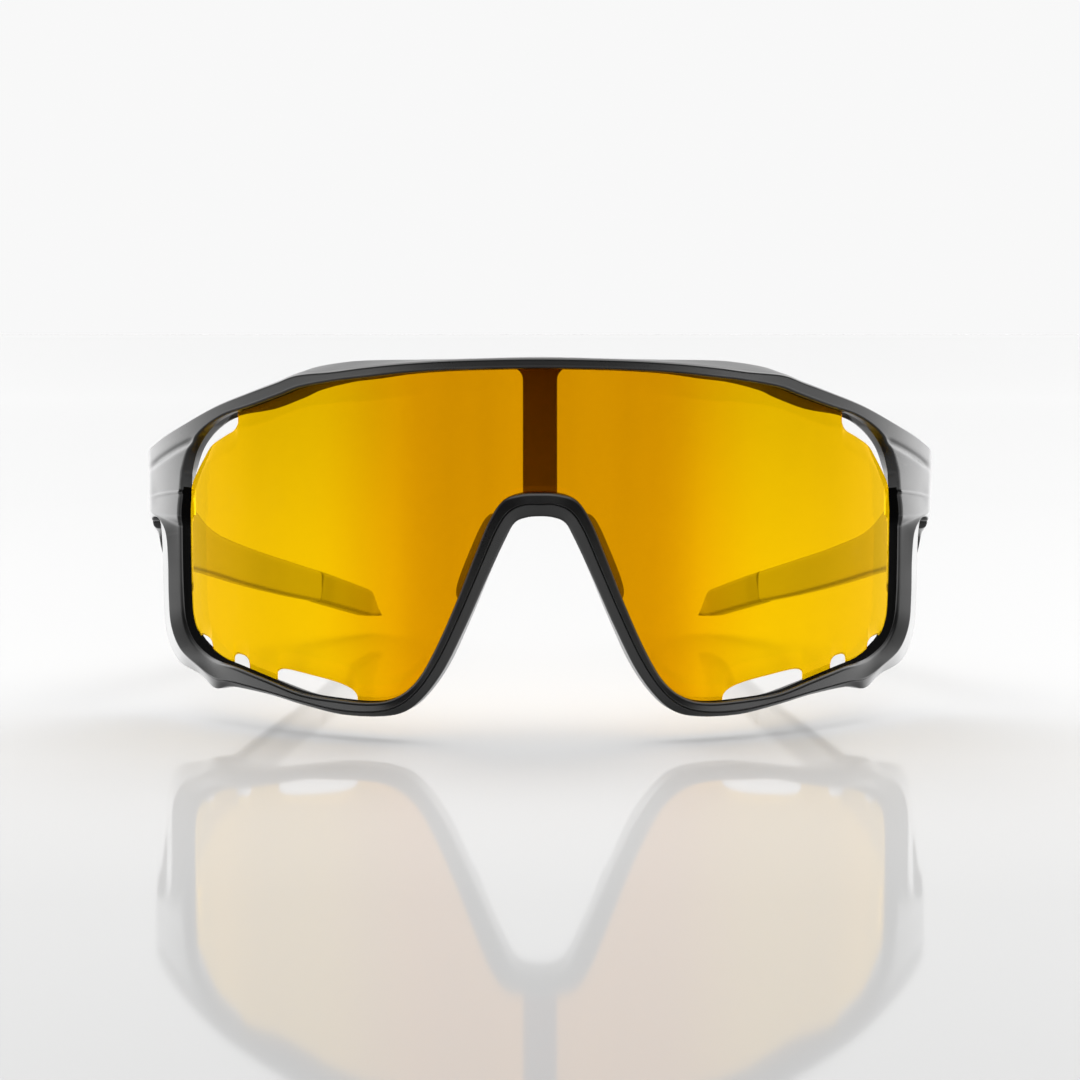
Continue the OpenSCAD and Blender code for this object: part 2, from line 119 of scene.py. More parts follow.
# ---------------------------------------------------------------- materials
class Nodes:
    """A material's node tree, with short calls to add to it."""

    def __init__(self, name):
        self.material = bpy.data.materials.new(name)
        self.material.use_nodes = True
        self.tree = self.material.node_tree
        self.bsdf = self.tree.nodes["Principled BSDF"]
        self.coords = self.add("ShaderNodeTexCoord").outputs["Object"]

    def add(self, kind, **settings):
        node = self.tree.nodes.new(kind)
        for key, value in settings.items():
            setattr(node, key, value)
        return node

    def set(self, node, **inputs):
        for key, value in inputs.items():
            name = key.replace("_", " ")
            if isinstance(value, bpy.types.NodeSocket):
                self.tree.links.new(value, node.inputs[name])
            else:
                node.inputs[name].default_value = value
        return node

    def noise(self, scale, detail=2.0, stretch=(1, 1, 1)):
        mapping = self.set(self.add("ShaderNodeMapping"), Vector=self.coords, Scale=stretch)
        texture = self.add("ShaderNodeTexNoise")
        self.set(texture, Vector=mapping.outputs[0], Scale=scale, Detail=detail)
        return texture.outputs["Fac"]

    def ramp(self, value, low, high, to_low, to_high):
        node = self.set(self.add("ShaderNodeMapRange"), Value=value, From_Min=low, From_Max=high,
                        To_Min=to_low, To_Max=to_high)
        return node.outputs[0]

    def mix(self, factor, a, b):
        node = self.add("ShaderNodeMix", data_type="RGBA")
        for socket, value in ((node.inputs[0], factor), (node.inputs[6], a), (node.inputs[7], b)):
            if isinstance(value, bpy.types.NodeSocket):
                self.tree.links.new(value, socket)
            else:
                socket.default_value = value
        return node.outputs[2]

    def math(self, operation, a, b):
        node = self.add("ShaderNodeMath", operation=operation)
        for socket, value in zip(node.inputs, (a, b)):
            if isinstance(value, bpy.types.NodeSocket):
                self.tree.links.new(value, socket)
            else:
                socket.default_value = value
        return node.outputs[0]

    def edges(self):
        """1 on worn convex edges, 0 elsewhere."""
        point = self.add("ShaderNodeNewGeometry").outputs["Pointiness"]
        patchy = self.ramp(self.noise(420, 3), 0.35, 0.65, 0.35, 1.0)
        return self.math("MULTIPLY", self.ramp(point, 0.52, 0.6, 0.0, 1.0), patchy)

    def bump(self, height, strength, distance):
        node = self.set(self.add("ShaderNodeBump"), Height=height, Strength=strength, Distance=distance)
        self.set(self.bsdf, Normal=node.outputs[0])


def grey(value, warm=0.0):
    """A grey, a little warmer or cooler."""
    return (value * (1 + warm), value, value * (1 - warm), 1)


def moulded(name, base, worn, rough, grain, depth, specular=0.5):
    """Moulded plastic or rubber: fine grain, slow colour drift and worn edges."""
    n = Nodes(name)
    drift = n.noise(70, 3)
    colour = n.mix(n.ramp(drift, 0.3, 0.7, 0.0, 1.0), grey(base * 0.85), grey(base * 1.2, 0.02))
    n.set(n.bsdf, Base_Color=n.mix(n.edges(), colour, grey(worn)))
    fine = n.noise(grain, 2)
    n.set(n.bsdf, Roughness=n.ramp(n.math("ADD", drift, fine), 0.6, 1.4, rough - 0.05, rough + 0.06))
    n.set(n.bsdf, Specular_IOR_Level=specular)
    n.bump(n.math("ADD", fine, n.math("MULTIPLY", drift, 2.0)), 0.5, depth)
    return n.material


def steel(name, base, rough, stretch):
    """Brushed steel, with its brushing along one axis and small dull spots."""
    n = Nodes(name)
    brushed = n.noise(900, 3, stretch)
    spots = n.noise(500, 4)
    colour = n.mix(n.ramp(spots, 0.4, 0.75, 0.0, 1.0), grey(base, 0.01), grey(base * 0.6, 0.04))
    n.set(n.bsdf, Base_Color=n.mix(n.edges(), colour, grey(min(base * 1.3, 0.9))))
    n.set(n.bsdf, Metallic=1.0, Roughness=n.ramp(brushed, 0.3, 0.7, rough - 0.08, rough + 0.12))
    n.bump(brushed, 0.35, 0.00002)
    return n.material


def gold_lens():
    """A gold mirror coat on an amber lens, with a painted reflection that makes it lighter and yellower
    towards the sides.
    """
    n = Nodes("gold_mirror")
    streaks = n.noise(90, 2, (1, 1, 0.06))
    smears = n.noise(120, 4, (1, 1, 0.5))
    amount = n.ramp(streaks, 0.3, 0.7, 0.0, 1.0)
    split = n.set(n.add("ShaderNodeSeparateXYZ"), Vector=n.coords)
    # painted reflection: the colour goes from a darker orange in the middle to a lighter yellow towards the
    # sides, standing in for the side lights mirrored in the lens
    side = n.set(n.add("ShaderNodeMapRange", interpolation_type="SMOOTHSTEP"),
                 Value=n.math("ABSOLUTE", split.outputs[0], 0), From_Min=0.019, From_Max=0.043).outputs[0]
    middle = n.mix(amount, (0.735, 0.325, 0.0005, 1), (0.803, 0.362, 0.0005, 1))
    outside = n.mix(amount, (0.84, 0.51, 0.0005, 1), (0.88, 0.535, 0.0005, 1))
    n.set(n.bsdf, Base_Color=n.mix(side, middle, outside))
    n.set(n.bsdf, Roughness=n.ramp(smears, 0.35, 0.75, 0.02, 0.07))
    n.set(n.bsdf, Metallic=0.1, IOR=1.08, Transmission_Weight=1.0, Specular_Tint=(0.9, 0.5, 0.02, 1))
    n.bump(smears, 0.05, 0.00002)
    return n.material


# name, base grey, worn grey, roughness, grain, grain's depth, specular
frame_plastic = moulded("satin_black", 0.005, 0.03, 0.31, 6000, 0.000012, 0.8)
# seat_black: a blacker, duller copy of the frame plastic that paints shade on the rim's deep inner walls
seat_black = moulded("seat_black", 0.002, 0.004, 0.85, 5000, 0.00002, 0.05)
# arm_black: a lighter copy of the frame's satin plastic, painted light on the temple arms
arm_plastic = moulded("arm_black", 0.012, 0.03, 0.21, 6000, 0.000006, 0.8)
# strut_black: a much lighter copy of the frame's satin plastic, painted light on the strut seen through the
# lens
strut_plastic = moulded("strut_black", 0.05, 0.04, 0.4, 6000, 0.000012, 0.6)
tip_rubber = moulded("tip_rubber", 0.007, 0.025, 0.3, 4500, 0.00001, 0.6)
pad_rubber = moulded("pad_rubber", 0.016, 0.035, 0.62, 4000, 0.00003, 0.35)
bridge_plastic = moulded("bridge_grey", 0.020, 0.06, 0.45, 5000, 0.00002)
core_plastic = moulded("pad_core_grey", 0.05, 0.1, 0.5, 5000, 0.00002)
hinge_steel = steel("hinge_steel", 0.50, 0.33, (1, 1, 0.1))
screw_steel = steel("screw_steel", 0.62, 0.26, (1, 1, 1))
gold_mirror = gold_lens()


# ---------------------------------------------------------------- mesh helpers
def mesh_piece(name, points, faces, material, body, node, slot, sharp=35, inlay=None):
    """A piece made of points in the design's frame, that stands for a CAD node.

    inlay is a second material and the numbers of the faces that have it.
    """
    mesh = bpy.data.meshes.new(name)
    placed = (np.asarray(points, float) + [0, front_y, 0]) / 1000
    mesh.from_pydata(placed.tolist(), [], faces)
    if inlay:
        for number in inlay[1]:
            mesh.polygons[number].material_index = 1
    work = bmesh.new()
    work.from_mesh(mesh)
    bmesh.ops.remove_doubles(work, verts=work.verts, dist=1e-7)
    bmesh.ops.dissolve_degenerate(work, edges=work.edges, dist=1e-7)
    bmesh.ops.recalc_face_normals(work, faces=work.faces)
    work.to_mesh(mesh)
    work.free()
    mesh.polygons.foreach_set("use_smooth", [True] * len(mesh.polygons))
    mesh.set_sharp_from_angle(angle=math.radians(sharp))
    mesh.materials.append(material)
    if inlay:
        mesh.materials.append(inlay[0])
    piece = bpy.data.objects.new(name, mesh)
    scene.collection.objects.link(piece)
    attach(piece, body)
    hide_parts(node)
    return piece


def rings_mesh(rings, closed=False):
    """Points and faces of a skin over rings: joined end to end, or capped at both ends."""
    count, size = rings.shape[:2]
    faces = []
    for i in range(count if closed else count - 1):
        for j in range(size):
            k = (i + 1) % count
            m = (j + 1) % size
            faces.append((i * size + j, k * size + j, k * size + m, i * size + m))
    if not closed:
        faces.append(tuple(range(size)))
        faces.append(tuple((count - 1) * size + j for j in reversed(range(size))))
    return rings.reshape(-1, 3), faces


def joined(*parts):
    """Several (points, faces) pairs as one."""
    points, faces, start = [], [], 0
    for some, more in parts:
        points.append(some)
        faces += [tuple(i + start for i in face) for face in more]
        start += len(some)
    return np.concatenate(points), faces


def rounded(corners, radii, arc=4, along=None):
    """Corners of shape (rings, n, 3) with each one turned into a small arc; along adds points to an edge."""
    before = np.roll(corners, 1, axis=1) - corners
    after = np.roll(corners, -1, axis=1) - corners

    def cut_at(k, edge, radius):
        """Where the arc at corner k leaves an edge, at most 0.45 of the way along it."""
        length = np.linalg.norm(edge, axis=1, keepdims=True)
        return corners[:, k] + edge * np.minimum(radius / np.maximum(length, 1e-6), 0.45)

    pieces = []
    for k, radius in enumerate(radii):
        p = corners[:, k]
        cut = [cut_at(k, edge[:, k], radius) for edge in (before, after)]
        for t in np.linspace(0, 1, arc if radius > 0 else 1):
            pieces.append(cut[0] * (1 - t) ** 2 + p * 2 * t * (1 - t) + cut[1] * t**2)
        extra = (along or {}).get(k, 0)
        if extra:
            following = (k + 1) % len(radii)
            stop = cut_at(following, before[:, following], radii[following])
            for t in np.arange(1, extra + 1) / (extra + 1):
                pieces.append(cut[1] * (1 - t) + stop * t)
    return np.stack(pieces, axis=1)


def rounded_box(width, height, radius, arc=4):
    """Outline of a rounded rectangle about the origin."""
    radius = min(radius, width / 2 - 1e-3, height / 2 - 1e-3)
    out = []
    for quarter, (sx, sy) in enumerate(((1, 1), (-1, 1), (-1, -1), (1, -1))):
        for t in np.linspace(0, math.pi / 2, arc):
            a = quarter * math.pi / 2 + t
            out.append([sx * (width / 2 - radius) + radius * math.cos(a),
                        sy * (height / 2 - radius) + radius * math.sin(a)])
    return np.array(out)


# ---------------------------------------------------------------- rim
# From the middle of the brow round the left side to the middle of the bridge, as in the CAD model
# except for the brow crest:
# inner s, inner z, ridge s, ridge z, outer s, outer z, outer drop, back depth there,
# how far outside the inner edge the back wall starts and ends, depth where it ends, brow crest,
# reach of the lens groove
rim_rows = np.array([
    [0, 62.3, 0, 63.8, 0, 64.2, 0.5, rim_depth, -0.4, -0.4, rim_depth, 0, groove],
    [14, 62, 14, 63.5, 14, 63.9, 0.5, rim_depth, -0.4, -0.4, rim_depth, 0, groove],
    [24, 61.4, 24, 62.9, 24, 63.3, 0.5, rim_depth, -0.4, -0.4, rim_depth, 0.4, groove],
    [32, 60.5, 32.1, 62.1, 32.2, 62.5, 0.5, rim_depth, -0.5, -0.5, rim_depth, 1.1, groove],
    [38, 59.8, 38.4, 61.3, 38.5, 61.75, 0.5, rim_depth, -0.5, -0.5, rim_depth, 1.55, groove],
    [45.2, 58.6, 45.8, 60.6, 46, 61.05, 0.5, rim_depth, -0.8, -0.8, rim_depth, 1.2, groove],
    [49.9, 57.1, 50.8, 59.1, 51.1, 59.5, 0.6, rim_depth, -0.9, -0.9, rim_depth, 1.2, groove],
    [57, 55, 58, 57, 58.3, 57.4, 0.7, rim_depth, -0.9, -0.9, 7, 0.5, groove],
    [64.5, 53.1, 66.6, 54.5, 67, 54.9, 0.8, 6, -0.4, -0.3, 5.4, 0, groove],
    [71, 50.2, 77.2, 50.9, 78, 51.2, 0.8, 5.8, 0.8, 1.3, 5.4, 0, 0.15],
    [75.5, 46.5, 86.4, 47.9, 87.5, 48.3, 0.8, 5.2, 1.5, 2.1, 5.2, 0, 0.15],
    [77.8, 42.8, 94.4, 45.1, 95.5, 45.6, 0.7, end_t, 2.2, 3, 5, 0, 0.15],
    [78.4, 41, 95, 43.6, 106, 44.8, 0.5, end_t, 2.9, 3.8, 5, 0, 0.15],
    [79, 39, 95, 41, end_s, 43, 0.4, end_t, 3.7, 4.8, 5, 0, 0.6],
    [79.3, 37.2, 95, 38.2, end_s, 38.2, 0.4, end_t, 4.1, 5.3, 5, 0, groove],
    [79.5, 35.6, 95, 35.4, end_s, 33.6, 0.4, end_t, 4.1, 5.3, 5, 0, groove],
    [79.6, 34.2, 94, 33.8, 107, 31.2, 0.5, end_t, 4.1, 5.3, 5, 0, groove],
    [79.6, 32.9, 91, 33.2, 97.4, 31.4, 0.8, end_t, 4.1, 5.3, 5, 0, groove],
    [79.6, 31.5, 87, 32.4, 93.6, 33.2, 1.1, 4.8, 4.1, 5.4, 5.2, 0, groove],
    [79.6, 29.6, 84.2, 30, 92.2, 31.4, 1.7, 5.4, 4.1, 6, 5.7, 0, groove],
    [79.6, 25, 83.3, 25, 92, 25, 2, 6, 4.1, 6.2, 6, 0, groove],
    [79.4, 19, 83.2, 18.4, 91.8, 17.5, 2, 6, 4, 6.1, 6, 0, groove],
    [78.6, 14.4, 82.4, 12.8, 90.4, 10.4, 2, 6, 3.5, 5.4, 6, 0, groove],
    [75.9, 11.2, 78.8, 8.6, 84.4, 5.7, 1.8, 6, 2.2, 3.5, 6, 0, groove],
    [71, 9, 72.4, 6, 74.8, 4, 1.5, 6, 1.2, 2, 6, 0, groove],
    [66.5, 7.6, 67.2, 4.1, 69.3, 2, 1.2, 6.2, 0.8, 1.5, 6.2, 0, groove],
    [61, 6.7, 62, 4, 63.6, 2.9, 1, 6.2, 0.6, 1.2, 6.2, 0, groove],
    [53.5, 5.2, 53.8, 3.2, 54, 2.4, 1, 6.2, 0.5, 1.1, 6.2, 0, groove],
    [45.5, 3.4, 45.5, 2, 45.5, 1.1, 1, 6.5, 0.4, 0.9, 6.5, 0, groove],
    [38, 2.8, 37.7, 1, 37.5, 0, 1, 6.5, 0.4, 0.8, 6.5, 0, groove],
    [31, 2.7, 31, 1, 31, 0, 1, 6.5, 0.3, 0.7, 6.5, 0, groove],
    [26.5, 3.7, 26, 2.2, 25.5, 0.9, 1, 6.5, 0.2, 0.5, 6.5, 0, groove],
    [22.5, 6.8, 21.9, 5.4, 21.5, 3.6, 1.1, 6.5, 0.1, 0.2, 6.5, 0, groove],
    [19, 12.6, 18.1, 11, 17.3, 9, 1.3, 7, 0, 0, 7, 0, groove],
    [15.4, 20.4, 14.3, 18.9, 13.2, 17, 1.4, 7, 0, 0, 7, 0, groove],
    [12, 28.8, 10.7, 27.2, 9.3, 25.6, 1.4, 7, 0, 0, 7, 0, groove],
    [9.2, 35.4, 7.8, 33.9, 6, 32.6, 1.4, 7, 0, 0, 7, 0, groove],
    [6.6, 39.2, 5.6, 37.2, 4.4, 35.3, 1.4, 7, 0, 0, 7, 0, groove],
    [3.4, 40.4, 2.9, 38.5, 2.3, 36.2, 1.4, 7, 0, 0, 7, 0, groove],
    [0, 40.6, 0, 38.6, 0, 36.4, 1.4, 7, 0, 0, 7, 0, groove],
])
half = len(rim_rows)
mirror_row = np.array([-1, 1, -1, 1, -1, 1, 1, 1, 1, 1, 1, 1, 1])
rim_loop = np.concatenate([rim_rows, rim_rows[-2:0:-1] * mirror_row])
loop_length = len(rim_loop)

# s and z of the valley and of the raised line on the end pieces
groove_line = np.array([[70, 49.4], [73, 48.5], [80.5, 46.3], [87.4, 44.1], [94.1, 41.8], [110, 36.8]])
ridge_line = np.array([[74, 38.4], [79.6, 38.2], [82.9, 37.9], [87.6, 37.3], [94.7, 36.2], [110, 34]])


def end_piece_relief(s, z):
    """How far the end pieces' faces lie behind the plan curve: a soft valley above a thin raised line."""
    a = np.abs(s)
    off_groove = z - np.interp(a, *groove_line.T)
    off_ridge = z - np.interp(a, *ridge_line.T)
    valley = 0.42 * np.exp(-((off_groove / 0.7) ** 2))
    beside = 0.22 * np.exp(-((off_ridge / 2.2) ** 2)) * (1 - np.exp(-((off_ridge / 0.34) ** 2)))
    return (valley + beside) * smooth(a, 71.5, 76) * (1 - 0.85 * smooth(a, 89, 95))


def rim_rings():
    """The rim's cross-sections all the way round, and which of them are beside an upper corner vent."""
    steps = [20 if 8 <= min(i, loop_length - 1 - i) < 20 else 8 for i in range(loop_length)]
    u = np.concatenate([i + np.arange(n) / n for i, n in enumerate(steps)])
    rows = catmull(rim_loop, u, True)
    place = np.minimum(u, loop_length - u)
    inner, ridge, outer = rows[:, 0:2], rows[:, 2:4], rows[:, 4:6]
    out = (ridge - inner) / np.linalg.norm(ridge - inner, axis=1, keepdims=True)
    far = (outer - inner) / np.linalg.norm(outer - inner, axis=1, keepdims=True)
    drop, depth, seat, rear, back, crest, reach = (rows[:, k] for k in range(6, 13))
    width = np.linalg.norm(outer - inner, axis=1)
    zero = 0 * drop
    one = zero + 1
    wall = np.maximum(reach, seat * 0.6)
    lip = np.maximum(seat, 0) * 0.37
    # the thin crease along the ridge, below the chin and up the nose
    crease = 0.32 * smooth(place, 24.2, 26.5)
    # the front band leans towards the lens along the nose and, further out, below the end pieces
    nose = smooth(place, 30, 33)
    flank = smooth(place, 16.2, 18.2) * (1 - smooth(place, 23.5, 26))
    lean = 0.05 + 0.55 * nose + 0.95 * flank
    drop = drop * (1 - 0.5 * nose)
    ridge = ridge + np.stack([np.sign(outer[:, 0]) * flank, 0 * flank], axis=1)

    def corner(to_ridge, to_outer, extra, behind):
        """From the inner edge to the ridge or the outer edge, extra further out, behind the face."""
        direction = far if to_outer else out
        flat = inner + to_ridge * (ridge - inner) + to_outer * (outer - inner)
        flat = flat + np.outer(extra, 1) * direction
        return np.concatenate([flat, np.reshape(zero + behind, (-1, 1))], axis=1)

    corners = np.stack([
        corner(0, 0, 1.3 * flank, 0.4 + lean),
        corner(0, 0, 0.35 + 1.3 * flank, lean),
        corner(1, 0, -0.16 * one, zero),
        corner(1, 0, zero, crease),
        corner(1, 0, 0.16 * one, zero + 0.06),
        corner(0, 1, zero, drop),
        corner(0, 1, crest - 0.4 * nose, depth - 0.7),
        corner(0, 1, -0.6 - 0.4 * nose, depth),
        corner(0, 0, np.minimum(rear + 0.8, width - 0.75), np.maximum(depth, back)),
        corner(0, 0, np.minimum(rear + 0.4, width - 0.9), back),
        corner(0, 0, rear, back - 0.5),
        corner(0, 0, np.maximum(seat, wall + 0.05), lens_back + 0.2),
        corner(0, 0, wall, lens_back + 0.15),
        corner(0, 0, reach, lens_front - 0.1),
        corner(0, 0, -lip, lens_front - 0.1),
    ], axis=1)
    radii = [0.2, 0.25, 0.08, 0.06, 0.08, 0.4, 0.35, 0.5, 0.4, 0.2, 0.25, 0.1, 0.1, 0, 0.05]
    profile = rounded(corners, radii, 4, {1: 60, 4: 14, 5: 5, 6: 2, 7: 4, 8: 4})
    s = np.clip(profile[..., 0], -end_s, end_s)
    z = np.maximum(profile[..., 1], 0)
    back = profile[..., 2]
    back = back + end_piece_relief(s, z) * (1 - smooth(back, 1.2, 2.0))
    at_vent = (place > 7.6) & (place < 12.9)
    return on_face(s, z, -back), at_vent


rings, at_vent = rim_rings()
points, faces = rings_mesh(rings, closed=True)
# the groove and the wall in front of the lens get painted shade: a blacker, duller copy of the frame plastic,
# except beside the upper corner vents
size = rings.shape[1]
painted_shade_faces = [i for i in range(len(faces)) if i % size >= size - 13 and not at_vent[i // size]]
mesh_piece("front_frame_shell", points, faces, frame_plastic, "front", "front_frame", "frame_satin", 40,
           (seat_black, painted_shade_faces))

# ---------------------------------------------------------------- lens
edge_in = groove - 0.2        # how far the lens reaches into the groove
side_row = 20                 # the rim's row at the middle of its side


def lens_edge(u):
    """The lens's edge in the groove, beside the places u along the rim's loop."""
    rows = catmull(rim_loop, u, True)
    out = rows[:, 2:4] - rows[:, 0:2]
    return rows[:, 0:2] + edge_in * out / np.linalg.norm(out, axis=1, keepdims=True)


half_top = lens_edge(np.arange(0, side_row + 0.01, 0.125))
half_low = lens_edge(np.arange(half - 1, side_row - 0.01, -0.125))
lens_s = half_top[-1, 0]
corner_cut = catmull(np.array([[62.3, 52.1], [63.5, 50.5], [66.8, 49.1], [70.5, 47.4], [72.9, 45.2],
                               [75.5, 42.5], [77.5, 40.2], [78.4, 38.6], [lens_s + 1, 37.6]]),
                     np.linspace(0, 8, 81), False)
# lower edge vents: from s, to s, height at the middle, slope, bluntness of the inner and the outer end
vents = [(34.5, 52.7, 6.4, 0.14, 3, 4.5), (59.7, 64.5, 8.9, 0.1, 3, 3), (70.8, 75.8, 11.4, 0.15, 3, 3)]
vents_end = 75.8


def lens_top(s, at):
    """Height of the lens's upper edge, cut away towards the upper corner vent."""
    z = np.interp(at, *half_top.T)
    return np.where(s > corner_cut[0, 0], np.minimum(z, np.interp(s, *corner_cut.T)), z)


def lens_low(s, at):
    """Height of the lens's lower edge, raised over each vent."""
    z = np.interp(at, *half_low.T)
    for start, stop, height, slope, inner, outer in vents:
        middle = (start + stop) / 2
        u = np.minimum(np.abs(s - middle) / (stop - start) * 2, 1)
        blunt = np.where(s < middle, inner, outer)
        top = height + slope * (s - middle) - 2.6 * (1 - (1 - u**blunt) ** (1 / blunt))
        z = np.where((s >= start) & (s <= stop), np.maximum(z, top), z)
    return z


def behind(s):
    """Where a column meets the back face: the vents are cut straight back, so X stays the same."""
    def straight(at):
        return front_r * np.arcsin((front_r - lens_front) / (front_r - lens_back) * np.sin(at / front_r))
    past = np.interp(s, [vents_end, lens_s], [straight(vents_end), lens_s])
    return np.where(s <= vents_end, straight(np.minimum(s, vents_end)), past)


def lens_rings():
    """Upright slices through the lens from side to side, closer together at the vents."""
    columns = set(np.arange(0, lens_s - 0.2, 0.75)) | {lens_s - 0.02}
    for start, stop, *_ in vents:
        for k in range(15):
            bend = (1 - math.cos(k / 14 * math.pi)) / 2
            columns.add(start + 0.02 + (stop - start - 0.04) * bend)
        columns |= {start - 0.02, stop + 0.02}
    columns |= {corner_cut[0, 0] - 0.02, corner_cut[0, 0] + 0.02}
    columns = np.array(sorted(columns))
    columns = columns[np.concatenate([[True], np.diff(columns) > 0.015])]
    s = np.concatenate([-columns[:0:-1], columns])
    edge = 0.22
    points = []
    for r, at in ((-lens_front, np.abs(s)), (-lens_back, behind(np.abs(s)))):
        low, top = lens_low(np.abs(s), at), lens_top(np.abs(s), at)
        inwards = -edge if r == -lens_front else edge
        side = [(top - 0.02, r + inwards), (top - 0.07, r + inwards * 0.3), (top - edge, r)]
        fill = [(top - edge + (low - top + 2 * edge) * k / 12, r) for k in range(1, 12)]
        foot = [(low + edge, r), (low + 0.07, r + inwards * 0.3), (low + 0.02, r + inwards)]
        ring = side + fill + foot
        ring = ring if r == -lens_front else ring[::-1]
        points += [on_face(np.sign(s) * at, z, out) for z, out in ring]
    return np.stack(points, axis=1)


points, faces = rings_mesh(lens_rings())
mesh_piece("shield_lens", points, faces, gold_mirror, "front", "lens", "mirror_lens", 40)


# ---------------------------------------------------------------- strut and nose bridge
def slab_ring(x, z, width_dir, half_w, depth_a, depth_b, radius):
    """A rounded rectangle across the strip at (x, z), half_w to each side along width_dir in X and Z."""
    outline = rounded_box(2 * half_w, depth_b - depth_a, radius)
    across = x + outline[:, 0] * width_dir[0]
    up = z + outline[:, 0] * width_dir[1]
    depth = (depth_a + depth_b) / 2 + outline[:, 1]
    y = front_r - np.sqrt((front_r - depth) ** 2 - across**2)
    return np.stack([across, y, up], axis=1)


def strut():
    """The upright bar, with a fillet where it meets the brow."""
    z = np.concatenate([np.linspace(40.1, 58, 20), np.linspace(58.3, 63, 22)])
    near_end = np.clip((z - 60.3) / 2, 0, 0.99)
    half_w = 3.05 + 2 * (1 - np.sqrt(1 - near_end**2))
    rings = [slab_ring(0, h, (1, 0), w, lens_back + 0.3, rim_depth - 0.4, 0.5) for h, w in zip(z, half_w)]
    return rings_mesh(np.array(rings))


mesh_piece("centre_strut_bar", *strut(), strut_plastic, "front", "centre_strut", "frame_satin")

arch_rows = np.array([   # x, z at the outside of the arch and at its inside
    [0, 39.8, 0, 36.6], [3.4, 39.2, 2.3, 36.3], [6.2, 37.4, 4.2, 35.3], [8.6, 34, 5.7, 33],
    [10.9, 28.5, 8.2, 27.6], [12.8, 23.9, 10.2, 22.9], [14.5, 19.7, 11.6, 19.4], [14.2, 18.3, 12.6, 18.8],
])
bridge_front, bridge_back = 6.85, 9.95        # depths of the arch's faces
pad_foot = np.array([11.9, 10.6, 22.5])       # lower end of the left pad's pin
pad_lean = math.radians(22.5)
pin_l = 12.0
eye_h = 2.4
eye_r = 1.25


def at_pivot(points, side):
    """From the pad pivot's own frame, z along the pin, to the design's frame."""
    p = np.asarray(points, float)
    c, s = math.cos(pad_lean), math.sin(pad_lean)
    x = p[:, 0] * c - p[:, 2] * s + pad_foot[0]
    z = p[:, 0] * s + p[:, 2] * c + pad_foot[2]
    return np.stack([side * x, p[:, 1] + pad_foot[1], z], axis=1)


def turned(profile, segments=40):
    """A shape turned about z from a closed outline of (radius, z) points."""
    a = np.linspace(0, 2 * math.pi, segments, endpoint=False)
    rings = [[(r * math.cos(t), r * math.sin(t), z) for r, z in profile] for t in a]
    return rings_mesh(np.array(rings), closed=True)


def eye(z, side):
    """One eye of the pad pivot, with its foot on the bridge."""
    top = z + eye_h
    b = 0.18
    hole_r = 0.56
    near_r = eye_r - 0.03
    tube = turned([(hole_r, z), (eye_r - b, z), (near_r, z + b * 0.4), (eye_r, z + b), (eye_r, top - b),
                   (near_r, top - b * 0.4), (eye_r - b, top), (hole_r, top)])
    outline = rounded_box(2 * eye_r, eye_h, 0.3)
    ring = [[(p[0], y, z + eye_h / 2 + p[1]) for p in outline * k]
            for y, k in ((-3.0, 1.0), (-1.6, 1.0), (-0.75, 0.96))]
    foot = rings_mesh(np.array(ring))
    points, faces = joined(tube, foot)
    return at_pivot(points, side), faces


def bridge():
    """The arch behind the nose, with two eyes for each pad's pin."""
    u = np.linspace(0, len(arch_rows) - 1, 57)
    rows = catmull(arch_rows, u, False)
    rows = np.concatenate([rows[:0:-1] * [-1, 1, -1, 1], rows])
    rings = []
    for x, z, ix, iz in rows:
        gap = np.array([x - ix, z - iz])
        width = np.linalg.norm(gap)
        middle = ((x + ix) / 2, (z + iz) / 2)
        rings.append(slab_ring(*middle, gap / width, width / 2, bridge_front, bridge_back, 0.7))
    arch = rings_mesh(np.array(rings))
    return joined(arch, *[eye(z, side) for side in (-1, 1) for z in (0, pin_l - eye_h)])


mesh_piece("nose_bridge_arch", *bridge(), bridge_plastic, "front", "nose_bridge", "bridge_plastic")

# ---------------------------------------------------------------- nose pads
splay = math.radians(14)
pad_w, pad_l, pad_t = 8.5, 17.0, 2.2


def pad():
    """A crowned oval pad about its own middle: x across its thickness, y back, z along the nose."""
    turns = np.linspace(0, 2 * math.pi, 64, endpoint=False)
    shape = np.stack([np.sign(np.cos(turns)) * np.abs(np.cos(turns)) ** 0.62 * pad_w / 2,
                      np.sign(np.sin(turns)) * np.abs(np.sin(turns)) ** 0.62 * pad_l / 2], axis=1)
    rings = []
    for side in (1, -1):
        shares = np.sin(np.linspace(0.02, math.pi / 2, 14))
        shares = shares if side > 0 else shares[-2::-1]
        for k in shares:
            crown = 0.08 if side > 0 else 0.05
            thick = (0.42 + crown * math.cos(k * math.pi / 2)) * pad_t
            edge = math.sqrt(max(1 - max(0, (k - 0.8) / 0.2) ** 2, 0))
            rings.append([(side * thick * edge, p[0] * k, p[1] * k) for p in shape])
    return rings_mesh(np.array(rings))


def nose_pad(side):
    """A pad turned by its splay angle and set on its pivot."""
    points, faces = pad()
    points = points + [0, 1.6 + pad_w / 2, pin_l / 2 - 1]
    c, s = math.cos(-splay), math.sin(-splay)
    turned_points = np.stack([points[:, 0] * c - points[:, 1] * s, points[:, 0] * s + points[:, 1] * c,
                              points[:, 2]], axis=1)
    return at_pivot(turned_points, side), faces


# ---------------------------------------------------------------- temples
arm_rows = np.array([   # y, outer x, upper z, lower z, thickness
    [butt_y + 0.15, outer_x, 45.4, 29.8, 4.4], [60, outer_x, 43.4, 27.4, 4.4],
    [64.5, 75.7, 40.4, 22.6, 4.3], [72, 74.6, 34, 20.2, 4.2], [84, 71.4, 27, 17.6, 4],
    [100, 65.9, 22, 13.6, 3.8], [118, 58.2, 17, 9.2, 3.6], [131, 52.7, 13.5, 6.4, 3.6],
    [134, 51.4, 12.7, 5.7, 3.6],
])
arm_end = 7                   # the row where the tip starts


